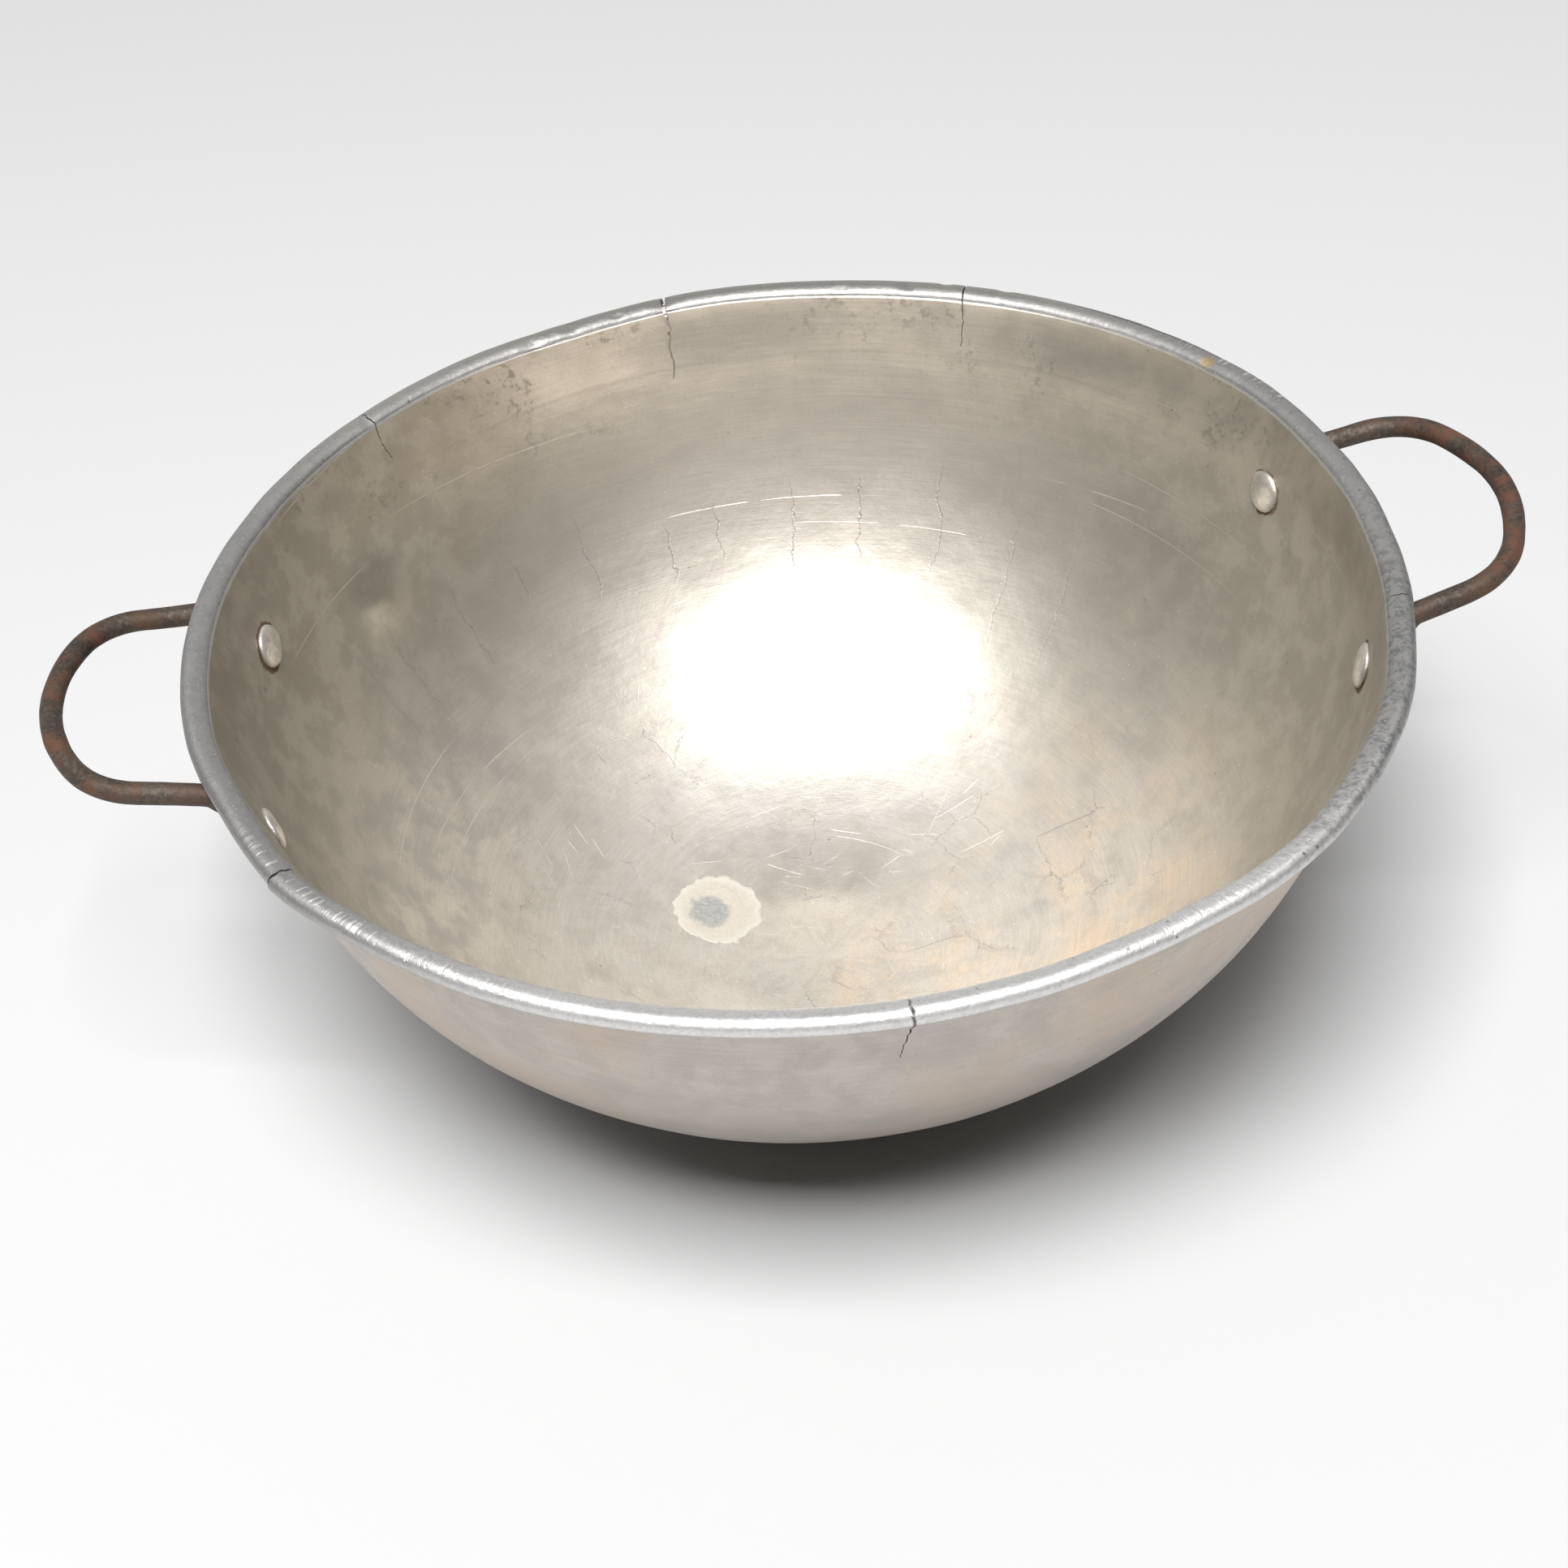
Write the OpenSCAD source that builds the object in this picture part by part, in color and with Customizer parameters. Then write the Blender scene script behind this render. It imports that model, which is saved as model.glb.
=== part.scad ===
// Round-bottomed aluminium kettle: one spun bowl with a rolled rim, and two bent steel rod
// handles, each held by two domed rivets through its flattened ends.
// Origin: centre of the small resting flat. +Z up, the handles lie along +X and -X.

/* [Bowl] */
// Overall diameter over the rolled rim
rim_d = 355.6; // [340:0.1:370]
// Overall height, from the resting flat to the top of the rim
bowl_h = 147; // [135:0.5:160]
// Outside diameter of the wall below the flare
wall_d = 333; // [326:0.5:334]
// Thickness of the sheet
sheet_t = 1.6; // [1.2:0.1:2]
// Diameter of the rolled rim, seen as a round bead
bead_d = 5.9; // [5:0.1:7]
// Outward flare of the wall under the rim
flare_w = 5; // [4:0.1:5]
// Radius at which the inside of the flare turns over into the rim
turn_r = 3; // [2.6:0.1:3.2]
// Diameter of the flat that the bowl rests on
rest_d = 60; // [40:1:80]

/* [Handles] */
// Diameter of the handle rod
rod_d = 6.4; // [6:0.1:6.6]
// Height of the rod under the centre of the rim bead
rod_drop = 6; // [5.8:0.1:6.6]
// Width of the flattened rod end
palm_w = 14; // [12:0.5:15]
// Thickness of the flattened rod end
palm_t = 2.6; // [2:0.1:3]

/* [Right handle] */
// Turn of the right handle from +X, in degrees
right_turn = 0.7; // [-3:0.1:3]
// Reach of the rod's centre line beyond the rim bead
right_reach = 37.4; // [30:0.1:45]
// Half the width of the loop at its widest
right_half_w = 43.9; // [40:0.1:46]
// Upward tilt of the loop, in degrees
right_tilt = 12.8; // [5:0.1:15]
// Splay of each leg towards the bowl, in degrees
right_splay = 4; // [0:0.5:12]
// Bend radius of the two corners
right_corner_r = 26; // [20:0.5:30]
// Bend radius of the far end
right_end_r = 68; // [50:1:80]
// Half the angle between the two rivets, about the bowl's axis, in degrees
right_rivet_a = 16.5; // [15:0.1:17]

/* [Left handle] */
// Turn of the left handle from -X, in degrees
left_turn = -0.8; // [-3:0.1:3]
// Reach of the rod's centre line beyond the rim bead
left_reach = 40.6; // [30:0.1:45]
// Half the width of the loop at its widest
left_half_w = 40.6; // [38:0.1:46]
// Upward tilt of the loop, in degrees
left_tilt = 6.7; // [5:0.1:15]
// Splay of each leg towards the bowl, in degrees
left_splay = 9; // [0:0.5:12]
// Bend radius of the two corners
left_corner_r = 25; // [20:0.5:30]
// Bend radius of the far end
left_end_r = 55; // [50:1:80]
// Half the angle between the two rivets, about the bowl's axis, in degrees
left_rivet_a = 15.5; // [14:0.1:17]

/* [Rivets] */
// Diameter of the rivet shank
shank_d = 6.35; // [5:0.05:6.4]
// Diameter of the domed head inside the bowl
head_d = 13.2; // [11:0.1:14]
// Height of the domed head
head_h = 2.5; // [2:0.1:3]
// Diameter of the peened tail on the flattened rod end
tail_d = 10.2; // [9:0.1:10.6]
// Height of the peened tail
tail_h = 2.6; // [2:0.1:3]
// Distance of the rivets below the centre of the rim bead
rivet_drop = 22.2; // [21.5:0.1:24]

/* [Hidden] */

// Rim: circle of the bead's centre
bead_r = bead_d / 2;
rim_r = rim_d / 2 - bead_r;
rim_z = bowl_h - bead_r;
curl_end_a = -150;

// Wall: half of an ellipse, whose widest level lies a little above the rim
crown_rise = 4.4;
crown_z = rim_z + crown_rise;
wall_r = wall_d / 2;
wall_depth = crown_z / sqrt(1 - pow(rest_d / wall_d, 2));
wall_steps = 90;
turn_z = rim_z + bead_r - turn_r;
flare_h = 15.5;

// Fits and bends
hole_gap = 0.05;
head_lift = 0.3;
palm_lift = 0.1;
rod_gap = 0.6;
elbow_r = 4.6;
tip_up = 6.6;
tip_d = 2;
tip_out = 2.3;
palm_up = 8;
joint_d = rod_d + 0.1;
joint_gap = 0.12;

// How far the flare pushes the wall out at height z
function flare_out(z) =
    let (s = min(1, max(0, (z - turn_z) / flare_h + 1)))
    flare_w * s * s * (3 - 2 * s);
// Angle round the ellipse, from its widest level down to height z
function wall_angle(z, depth) = asin((crown_z - z) / depth);
function wall_point(a, r, depth) =
    let (z = crown_z - depth * sin(a))
    [r * cos(a) + flare_out(z), z];
function outer_r(z) = wall_r * cos(wall_angle(z, wall_depth)) + flare_out(z);
// Downward lean of the wall's outward normal at height z
function wall_lean(z) = atan2(
    (crown_z - z) / pow(wall_depth, 2), outer_r(z) / pow(wall_r, 2));
// Points along the ellipse from height z1 to height z2
function wall_arc(r, depth, z1, z2) =
    let (a1 = wall_angle(z1, depth), a2 = wall_angle(z2, depth))
    [for (i = [0:wall_steps]) wall_point(a1 + (a2 - a1) * i / wall_steps, r, depth)];

function unit(v) = v / norm(v);
// Inner angle at corner p, between the straights from a and to b
function corner_angle(a, p, b) = acos(unit(a - p) * unit(b - p));
// Length that a bend of radius r takes from each straight that meets at p
function bend_trim(a, p, b, r) = r / tan(corner_angle(a, p, b) / 2);

// Part of a round band between two angles, in 2D
module arc_band(r, t, from, to) {
    reach = 2 * r;
    steps = 6;
    difference() {
        circle(r);
        circle(r - t);
        polygon(concat([[0, 0]], [
            for (i = [0:steps])
                let (a = to + (360 - to + from) * i / steps) [reach * cos(a), reach * sin(a)]
        ]));
    }
}

// Points along an arc round centre c, from angle a to angle b
function arc_points(c, r, a, b, steps) =
    [for (i = [0:steps]) let (t = a + (b - a) * i / steps) c + r * [cos(t), sin(t)]];

// Half section of the bowl: wall, flare, turned-over edge and rolled rim
module bowl_section() {
    inner_r = wall_r - sheet_t;
    inner_depth = wall_depth - sheet_t;
    turn_steps = 12;
    top = rim_z + bead_r;
    turn_c = [outer_r(turn_z) - sheet_t + turn_r, turn_z];
    wall_top = turn_z - sheet_t / 2;
    polygon(concat(
        [[0, 0]],
        wall_arc(wall_r, wall_depth, 0, wall_top),
        arc_points(turn_c, turn_r - sheet_t, 180, 90, turn_steps),
        [[rim_r, top - sheet_t], [rim_r, top]],
        arc_points(turn_c, turn_r, 90, 180, turn_steps),
        wall_arc(inner_r, inner_depth, wall_top, sheet_t),
        [[0, sheet_t]]));
    translate([rim_r, rim_z]) arc_band(bead_r, sheet_t, curl_end_a, 90);
}

// Places a piece at a rivet: its x runs round the wall, its y up the wall, its z outwards
module at_rivet(turn) {
    z = rim_z - rivet_drop;
    rotate(turn)
        translate([outer_r(z), 0, z])
            rotate([0, 90 + wall_lean(z), 0])
                rotate(90)
                    children();
}

module rivet_hole() {
    reach = 8;
    translate([0, 0, -reach / 2]) cylinder(d = shank_d + 2 * hole_gap, h = reach, $fn = 48);
}

module bowl() {
    color([0.68, 0.66, 0.62])
        difference() {
            rotate_extrude($fn = 180) bowl_section();
            for (side = [-1, 1]) {
                at_rivet(right_turn + side * right_rivet_a) rivet_hole();
                at_rivet(180 + left_turn + side * left_rivet_a) rivet_hole();
            }
        }
}

// Straight round bar from a to b
module bar(a, b, d1, d2) {
    v = b - a;
    translate(a)
        rotate([0, acos(v.z / norm(v)), atan2(v.y, v.x)])
            cylinder(d1 = d1, d2 = d2, h = norm(v));
}

// Bent round bar at corner p, between the straights from a and to b
module bend(a, p, b, r) {
    trim = bend_trim(a, p, b, r);
    from = p + unit(a - p) * trim;
    to = p + unit(b - p) * trim;
    centre = p + unit(unit(a - p) + unit(b - p)) * norm([r, trim]);
    ex = unit(from - centre);
    ez = unit(cross(ex, to - centre));
    ey = cross(ez, ex);
    gap_a = joint_gap / r * 180 / PI;
    multmatrix([
        [ex.x, ey.x, ez.x, centre.x],
        [ex.y, ey.y, ez.y, centre.y],
        [ex.z, ey.z, ez.z, centre.z],
        [0, 0, 0, 1]
    ])
        rotate(gap_a)
            rotate_extrude(angle = 180 - corner_angle(a, p, b) - 2 * gap_a)
                translate([r, 0]) circle(d = rod_d);
}

// Round rod along a line of points, with a bend radius at each inner point. Both ends taper.
// A ball a hair thicker than the rod joins each straight to its bend.
module bent_rod(points, radii, end_d) {
    last = len(points) - 1;
    trims = [
        for (i = [0:last])
            i == 0 || i == last ? 0 : bend_trim(points[i - 1], points[i], points[i + 1], radii[i])
    ];
    for (i = [0:last - 1]) {
        along = unit(points[i + 1] - points[i]);
        a = points[i] + along * (trims[i] + (i == 0 ? 0 : joint_gap));
        b = points[i + 1] - along * (trims[i + 1] + (i == last - 1 ? 0 : joint_gap));
        if ((b - a) * along > joint_gap)
            bar(a, b, i == 0 ? end_d : rod_d, i == last - 1 ? end_d : rod_d);
    }
    for (i = [1:last - 1]) bend(points[i - 1], points[i], points[i + 1], radii[i]);
    for (i = [1:last - 1], other = [points[i - 1], points[i + 1]])
        translate(points[i] + unit(other - points[i]) * trims[i]) sphere(d = joint_d);
}

// Where the line y = offset - slope * x meets a circle of radius d about the origin
function line_meets_circle(slope, offset, d) =
    let (k = 1 + pow(slope, 2), m = slope * offset)
    (m + sqrt(pow(m, 2) - k * (pow(offset, 2) - pow(d, 2)))) / k;

// Point given in a rivet's own directions (round, up, out), for a handle that lies along +X
function rivet_point(turn, round, up, out) =
    let (
        z = rim_z - rivet_drop,
        lean = wall_lean(z),
        r = outer_r(z) + up * sin(lean) + out * cos(lean)
    )
    [
        r * cos(turn) - round * sin(turn),
        r * sin(turn) + round * cos(turn),
        z + up * cos(lean) - out * sin(lean)
    ];

// Rod handle that lies along +X, with two flattened and drilled ends
module handle(reach, half_w, tilt, splay, corner_r, end_r, rivet_a) {
    // Outline of the loop in its own plane: s outwards from the rim bead, w sideways
    end_a = asin((half_w - corner_r) / (end_r - corner_r));
    corner = [reach - end_r, 0] + (end_r - corner_r) * [cos(end_a), sin(end_a)];
    corner_half = (90 - splay - end_a) / 2;
    corner_mid = corner
        + corner_r / cos(corner_half) * [cos(end_a + corner_half), sin(end_a + corner_half)];
    apex = [reach - end_r + end_r / cos(end_a), 0];
    // The leg turns down where the rod just clears the outside of the wall
    elbow_d = outer_r(turn_z) + rod_d / 2 + rod_gap;
    slope = tan(splay) / cos(tilt);
    offset = corner_mid.y + corner_mid.x * tan(splay) + rim_r * slope;
    elbow_x = line_meets_circle(slope, offset, elbow_d);
    elbow = [(elbow_x - rim_r) / cos(tilt), offset - slope * elbow_x];

    function loop_point(p, side) =
        [rim_r + p.x * cos(tilt), side * p.y, rim_z - rod_drop + p.x * sin(tilt)];
    function tip(side) = rivet_point(side * rivet_a, 0, tip_up, tip_out);

    points = [
        tip(-1), loop_point(elbow, -1), loop_point(corner_mid, -1), loop_point(apex, 1),
        loop_point(corner_mid, 1), loop_point(elbow, 1), tip(1)
    ];
    radii = [0, elbow_r, corner_r, end_r, corner_r, elbow_r, 0];
    bent_rod(points, radii, tip_d, $fn = 48);
    for (side = [-1, 1]) at_rivet(side * rivet_a) palm();
}

// Flattened rod end, drilled for its rivet
module palm() {
    difference() {
        translate([0, 0, palm_lift])
            linear_extrude(palm_t) {
                circle(d = palm_w, $fn = 64);
                translate([-palm_w / 2, 0]) square([palm_w, palm_up]);
            }
        rivet_hole();
    }
}

module handle_right() {
    color([0.24, 0.16, 0.12])
        rotate(right_turn)
            handle(right_reach, right_half_w, right_tilt, right_splay,
                right_corner_r, right_end_r, right_rivet_a);
}

module handle_left() {
    color([0.24, 0.16, 0.12])
        rotate(180 + left_turn)
            handle(left_reach, left_half_w, left_tilt, left_splay,
                left_corner_r, left_end_r, left_rivet_a);
}

// Half section of a low dome of base diameter d and height h
module dome_section(d, h) {
    r = (pow(d / 2, 2) + pow(h, 2)) / (2 * h);
    intersection() {
        translate([0, h - r]) circle(r, $fn = 128);
        square([d / 2, h]);
    }
}

// Domed rivet: head inside the bowl, shank through wall and palm, peened tail outside
module rivet(turn) {
    head_z = -sheet_t - head_lift;
    tail_z = palm_lift + palm_t;
    color([0.74, 0.73, 0.70])
        at_rivet(turn)
            rotate_extrude($fn = 64) {
                translate([0, head_z]) mirror([0, 1]) dome_section(head_d, head_h);
                translate([0, head_z]) square([shank_d / 2, tail_z - head_z]);
                translate([0, tail_z]) dome_section(tail_d, tail_h);
            }
}

module rivet_right_front() { rivet(right_turn - right_rivet_a); }
module rivet_right_rear() { rivet(right_turn + right_rivet_a); }
module rivet_left_front() { rivet(180 + left_turn + left_rivet_a); }
module rivet_left_rear() { rivet(180 + left_turn - left_rivet_a); }

bowl();
handle_right();
handle_left();
rivet_right_front();
rivet_right_rear();
rivet_left_front();
rivet_left_rear();
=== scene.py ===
"""Looks of a round-bottomed aluminium kettle with two steel rod handles, around its CAD frame.

Shapes are worked out in millimetres and azimuths in degrees from +X, and meshes are in metres.
"""

import math

import bpy
import numpy as np
from mathutils import Matrix, Vector, noise


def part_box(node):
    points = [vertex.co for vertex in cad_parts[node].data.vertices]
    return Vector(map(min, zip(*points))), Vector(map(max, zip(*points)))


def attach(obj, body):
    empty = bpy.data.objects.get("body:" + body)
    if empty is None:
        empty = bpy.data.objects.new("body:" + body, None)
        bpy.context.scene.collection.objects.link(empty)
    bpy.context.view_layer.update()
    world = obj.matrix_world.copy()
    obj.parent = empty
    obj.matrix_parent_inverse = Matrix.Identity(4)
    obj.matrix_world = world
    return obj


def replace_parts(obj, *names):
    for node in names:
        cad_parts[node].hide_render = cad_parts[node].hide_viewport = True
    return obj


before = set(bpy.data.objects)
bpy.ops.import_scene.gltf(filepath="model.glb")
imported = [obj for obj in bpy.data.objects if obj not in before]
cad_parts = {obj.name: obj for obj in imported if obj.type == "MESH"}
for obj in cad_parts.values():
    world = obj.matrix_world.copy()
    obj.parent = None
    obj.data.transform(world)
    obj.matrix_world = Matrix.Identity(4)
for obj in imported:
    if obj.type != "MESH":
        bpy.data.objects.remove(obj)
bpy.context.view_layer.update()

MM = 0.001
BODY = "root"

# Bowl: its line follows the CAD part
SHEET = 1.6
BEAD_R = 2.95
TURN_R = 3.0
FLARE_W = 5.0
FLARE_H = 17.0
FLARE_PAST = 3.0
WALL_R = 166.5
REST_R = 30.0
CROWN_RISE = 4.4
CURL_END = -150.0
FLAT_BLEND = 0.6
bowl_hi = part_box("bowl")[1]
RIM_TOP = bowl_hi.z / MM
RIM_R = bowl_hi.x / MM - BEAD_R
RIM_Z = RIM_TOP - BEAD_R
CROWN_Z = RIM_Z + CROWN_RISE
WALL_DEPTH = CROWN_Z / math.sqrt(1 - (REST_R / WALL_R) ** 2)

# Handles
ROD_R = 3.2
ROD_DROP = 6.0
ROD_GAP = 0.6
ELBOW_R = 4.6
PALM_W = 14.0
PALM_T = 2.6
PALM_LIFT = 0.1
# Azimuths of the two handles
RIGHT = 0.7
LEFT = 179.2
HANDLES = {
    "handle_right": dict(turn=RIGHT, reach=37.4, half_w=43.9, tilt=12.8, splay=4.0,
                         corner_r=26.0, end_r=68.0, rivet_a=16.5, seed=3),
    "handle_left": dict(turn=LEFT, reach=40.6, half_w=40.6, tilt=6.7, splay=9.0,
                        corner_r=25.0, end_r=55.0, rivet_a=15.5, seed=8),
}

# Rivets
RIVET_DROP = 22.2
SHANK_R = 3.175
HEAD_R = 6.6
HEAD_H = 2.5
TAIL_R = 5.1
TAIL_H = 2.6


# ---------------------------------------------------------------- shape of the bowl

def smooth(x, low, high):
    """0 below low, 1 above high, and a smooth step between."""
    t = np.clip((x - low) / (high - low), 0, 1)
    return t * t * (3 - 2 * t)


def bowl_line():
    """Inner line of the half section, from the pole to the end of the curl: radius, height, run."""
    turn_z = RIM_TOP - TURN_R
    depth = WALL_DEPTH - SHEET
    top = math.asin((CROWN_Z - turn_z) / depth)
    a = np.linspace(math.pi / 2, top, 1500)
    drop = CROWN_Z - depth * np.sin(a) - SHEET
    z = SHEET + (drop + np.sqrt(drop**2 + FLAT_BLEND**2)) / 2
    share = smooth(np.append(z, turn_z), turn_z - FLARE_H, turn_z + FLARE_PAST)
    flare = FLARE_W * share[:-1] / share[-1]
    wall = np.stack([(WALL_R - SHEET) * np.cos(a) + flare, z], 1)
    a = np.radians(np.linspace(180, 90, 80))
    turn = np.stack([RIM_R + (RIM_R - wall[-1, 0]) * np.cos(a), turn_z + TURN_R * np.sin(a)], 1)
    a = np.radians(np.linspace(90, CURL_END, 140))
    curl = np.stack([RIM_R + BEAD_R * np.cos(a), RIM_Z + BEAD_R * np.sin(a)], 1)
    line = np.concatenate([wall, turn[1:], curl[1:]])
    run = np.concatenate([[0], np.cumsum(np.hypot(*np.diff(line, axis=0).T))])
    return line[:, 0], line[:, 1], run


LINE_R, LINE_Z, LINE_RUN = bowl_line()
LINE_END = LINE_RUN[-1]


def section(back):
    """Point and upward normal of the inner line, at distances back from the end of the curl."""
    run = LINE_END - np.asarray(back, float)
    r, z = np.interp(run, LINE_RUN, LINE_R), np.interp(run, LINE_RUN, LINE_Z)
    step = 0.35
    ahead, behind = np.minimum(run + step, LINE_END), np.maximum(run - step, 0)
    dr = np.interp(ahead, LINE_RUN, LINE_R) - np.interp(behind, LINE_RUN, LINE_R)
    dz = np.interp(ahead, LINE_RUN, LINE_Z) - np.interp(behind, LINE_RUN, LINE_Z)
    size = np.hypot(dr, dz)
    return r, z, -dz / size, dr / size


def turn_gap(azimuth, place):
    """Signed angle from place to azimuth, in degrees."""
    return (azimuth - place + 180) % 360 - 180


def wobble(points, size, seed):
    """Smooth noise from -1 to 1, about size millimetres across."""
    shift = Vector((seed * 17.3, seed * 5.7, seed * 9.1))
    return np.array([noise.noise(Vector(p) / size + shift) for p in points])


def polar(azimuth, r, z):
    a = np.radians(azimuth)
    return np.stack([r * np.cos(a), r * np.sin(a), z + 0 * r], -1)


# Where the rim is out of round: azimuth, outward shift, half width in degrees
RIM_SHIFTS = [(-6, -3.4, 17), (-21, -1.3, 7), (14, -1.2, 8), (-53, 2.0, 11), (89, 1.0, 8),
              (107, -1.3, 8), (-148, 1.2, 6), (198, -0.9, 6), (48, 0.5, 20)]
# Dents pushed in from outside: azimuth, radius, height, spread, depth
DENTS = [(142.8, 155.5, 98.9, 8.5, 2.6), (28.7, 139.7, 69.1, 6.5, 1.3), (66, 36, 4, 8, 0.35),
         (-2, 62, 12, 7, 0.4), (-24, 27, 3, 6, 0.25), (-40, 95, 30, 14, 0.5)]
# Knocks in the rim, from outside: azimuth, radius, height, spread, depth
KNOCKS = [(111.3, 171, 147, 2.6, 0.7), (106.5, 173, 147, 2.2, 0.6), (100.8, 172, 147, 1.1, 0.9),
          (75.4, 171, 147, 1.6, 0.7), (67.9, 173, 147, 1.6, 0.6), (63.9, 176, 146.5, 1.8, 0.5),
          (57.2, 176, 146.5, 2.0, 0.4), (133.4, 172, 147, 2.5, 0.5), (31, 172, 147, 3, 0.4),
          (-133, 176, 146, 3.5, 0.5), (-68, 177, 146, 3, 0.4), (95.2, 173, 147, 3.0, 0.7)]
# The bead steps outwards past one crack, and settles back over some degrees
STEP_AT = -149.7
STEP_OUT = 0.8
STEP_FADE = 4.0
# Height of the wall over which the rim's shape comes in
RIM_BLEND = (124, 143)
# Gentle waves of the rim outwards and upwards, and of the sheet: height, size, seed
OUT_WAVES = [(0.5, 55, 1), (0.16, 11, 2)]
RISE_WAVES = [(0.5, 70, 4), (0.1, 9, 5)]
SHEET_WAVES = [(0.30, 42, 6), (0.07, 13, 7)]


def waves(points, table):
    """Sum of smooth noises of given heights and sizes."""
    return sum(height * wobble(points, size, seed) for height, size, seed in table)


def pushes(base, table):
    """Sum of soft round pushes, each about a place on the sheet."""
    total = 0
    for azimuth, r, z, spread, depth in table:
        far = np.linalg.norm(base - polar(azimuth, np.array(float(r)), z), axis=-1)
        total = total + depth * np.exp(-((far / spread) ** 2))
    return total


def bowl_points(azimuth, back, lift):
    """Points of the bent and dented sheet: lift is the distance above its inner surface."""
    r, z, nr, nz = section(back)
    base = polar(azimuth, r, z)
    normal = polar(azimuth, nr, nz)
    rim = smooth(z, *RIM_BLEND)
    out = sum(d * np.exp(-(turn_gap(azimuth, a) / w) ** 2) for a, d, w in RIM_SHIFTS)
    past = turn_gap(azimuth, STEP_AT)
    out = out + np.where(past > 0, STEP_OUT * np.exp(-past / STEP_FADE), 0)
    ring = polar(azimuth, np.full_like(r, RIM_R), np.zeros_like(r))
    out = out + waves(ring, OUT_WAVES)
    rise = waves(ring, RISE_WAVES)
    # The flat that the bowl rests on stays flat
    push = waves(base, SHEET_WAVES) * smooth(z, 1.7, 4.5) * (1 - 0.7 * rim)
    push = push + pushes(base, DENTS) - pushes(base, KNOCKS)
    moved = base + normal * (lift + push)[..., None]
    return moved + polar(azimuth, out * rim, rise * rim)


# ---------------------------------------------------------------- meshes

def new_piece(name, points, faces, material, sharp=40):
    """A smooth mesh piece from points in millimetres, riding on the one body."""
    mesh = bpy.data.meshes.new(name)
    mesh.from_pydata([tuple(p) for p in np.asarray(points) * MM], [], faces)
    mesh.update()
    mesh.shade_smooth()
    mesh.set_sharp_from_angle(angle=math.radians(sharp))
    mesh.materials.append(material)
    piece = bpy.data.objects.new(name, mesh)
    bpy.context.scene.collection.objects.link(piece)
    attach(piece, BODY)
    return piece


FINE_COLUMNS = 640
RIM_BAND = 28.0
TOP_BAND = 58.0
ROW_STEPS = (0.8, 2.0, 3.4)
LEAST_EDGE = 1.7
LEAST_RING = 3.0


def bowl_rings():
    """Distance back from the curl's end, and number of columns, of every ring of the sheet."""
    rings = []
    back = 0.0
    columns = FINE_COLUMNS
    while LINE_END - back > LEAST_RING:
        r = section(back)[0]
        if back > RIM_BAND:
            columns = min(columns, FINE_COLUMNS // 2)
            while 2 * math.pi * r / columns < LEAST_EDGE and columns > 10:
                columns //= 2
        rings.append((back, columns))
        band = (back >= RIM_BAND) + (back >= TOP_BAND)
        back += ROW_STEPS[band]
    return rings


def skin_faces(starts, counts, pole):
    """Faces between rings of points; a ring may have half the columns of the one before."""
    faces = []
    for i in range(len(counts) - 1):
        a, b, n, m = starts[i], starts[i + 1], counts[i], counts[i + 1]
        for j in range(m):
            k = (j + 1) % m
            if n == m:
                faces.append((a + j, b + j, b + k, a + k))
            else:
                left, mid, right = a + 2 * j, a + 2 * j + 1, a + (2 * j + 2) % n
                faces += [(left, b + j, mid), (mid, b + j, b + k), (mid, b + k, right)]
    last, n = starts[-1], counts[-1]
    faces += [(last + j, pole, last + (j + 1) % n) for j in range(n)]
    return faces


def bowl_mesh():
    """Points and faces of the whole sheet: inner skin, outer skin and the edge of the curl."""
    rings = bowl_rings()
    counts = [n for _, n in rings]
    azimuth = np.concatenate([np.arange(n) * 360.0 / n for n in counts] + [[0.0]])
    back = np.concatenate([np.full(n, b) for b, n in rings] + [[LINE_END - 0.001]])
    inner = bowl_points(azimuth, back, np.zeros_like(back))
    outer = bowl_points(azimuth, back, np.full_like(back, -SHEET))
    total = len(back)
    starts = list(np.concatenate([[0], np.cumsum(counts)[:-1]]).astype(int))
    inner_faces = skin_faces(starts, counts, total - 1)
    faces = [tuple(int(i) for i in f[::-1]) for f in inner_faces]
    faces += [tuple(int(i) + total for i in f) for f in inner_faces]
    n = counts[0]
    for j in range(n):
        k = (j + 1) % n
        faces.append((k, j, total + j, total + k))
    return np.concatenate([inner, outer]), faces


# Cracks in the rim: azimuth, whether the wall is torn from inside (1) or outside (-1), then
# (distance back, sideways shift, half the gap) along each
CRACKS = [
    (95.2, 1, [(5, -1.6, 0.5), (9, -1.0, 0.7), (13, 0.2, 0.75), (18, 0.6, 0.6), (24, -0.2, 0.42),
               (30, 1.1, 0.32), (36, 0.4, 0.22), (41, 1.3, 0.1)]),
    (61.4, 1, [(6, 0.9, 0.3), (14, 0.5, 0.3), (22, -0.3, 0.18), (34, -1.0, 0.1)]),
    (132.9, 1, [(6, 0.5, 0.3), (14, -0.5, 0.25), (24, 0.3, 0.18), (31, -1.0, 0.08)]),
    (-149.7, 1, [(1.5, 0.0, 0.35), (8, -0.3, 0.4), (14, 0.4, 0.4), (22, 0.0, 0.2)]),
    (-90.5, -1, [(1.5, -0.6, 0.35), (6, -0.1, 0.5), (11, -0.4, 0.45), (18, -0.6, 0.25), (23, 3.2, 0.24),
                 (31, 1.8, 0.26), (40, -0.6, 0.17), (47, -2.4, 0.06)]),
    (-15.7, 1, [(5, -1.0, 0.16), (11, 0.6, 0.2), (16, 0.6, 0.18), (23, -0.6, 0.1)]),
]
BEAD_RUN = 20.0
LEFT_THICK = 0.35
CRACK_STEP = 0.7
CRACK_JAG = 0.28
JAG_SIZE = 1.3
CUT_ABOVE = 1.3
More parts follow.
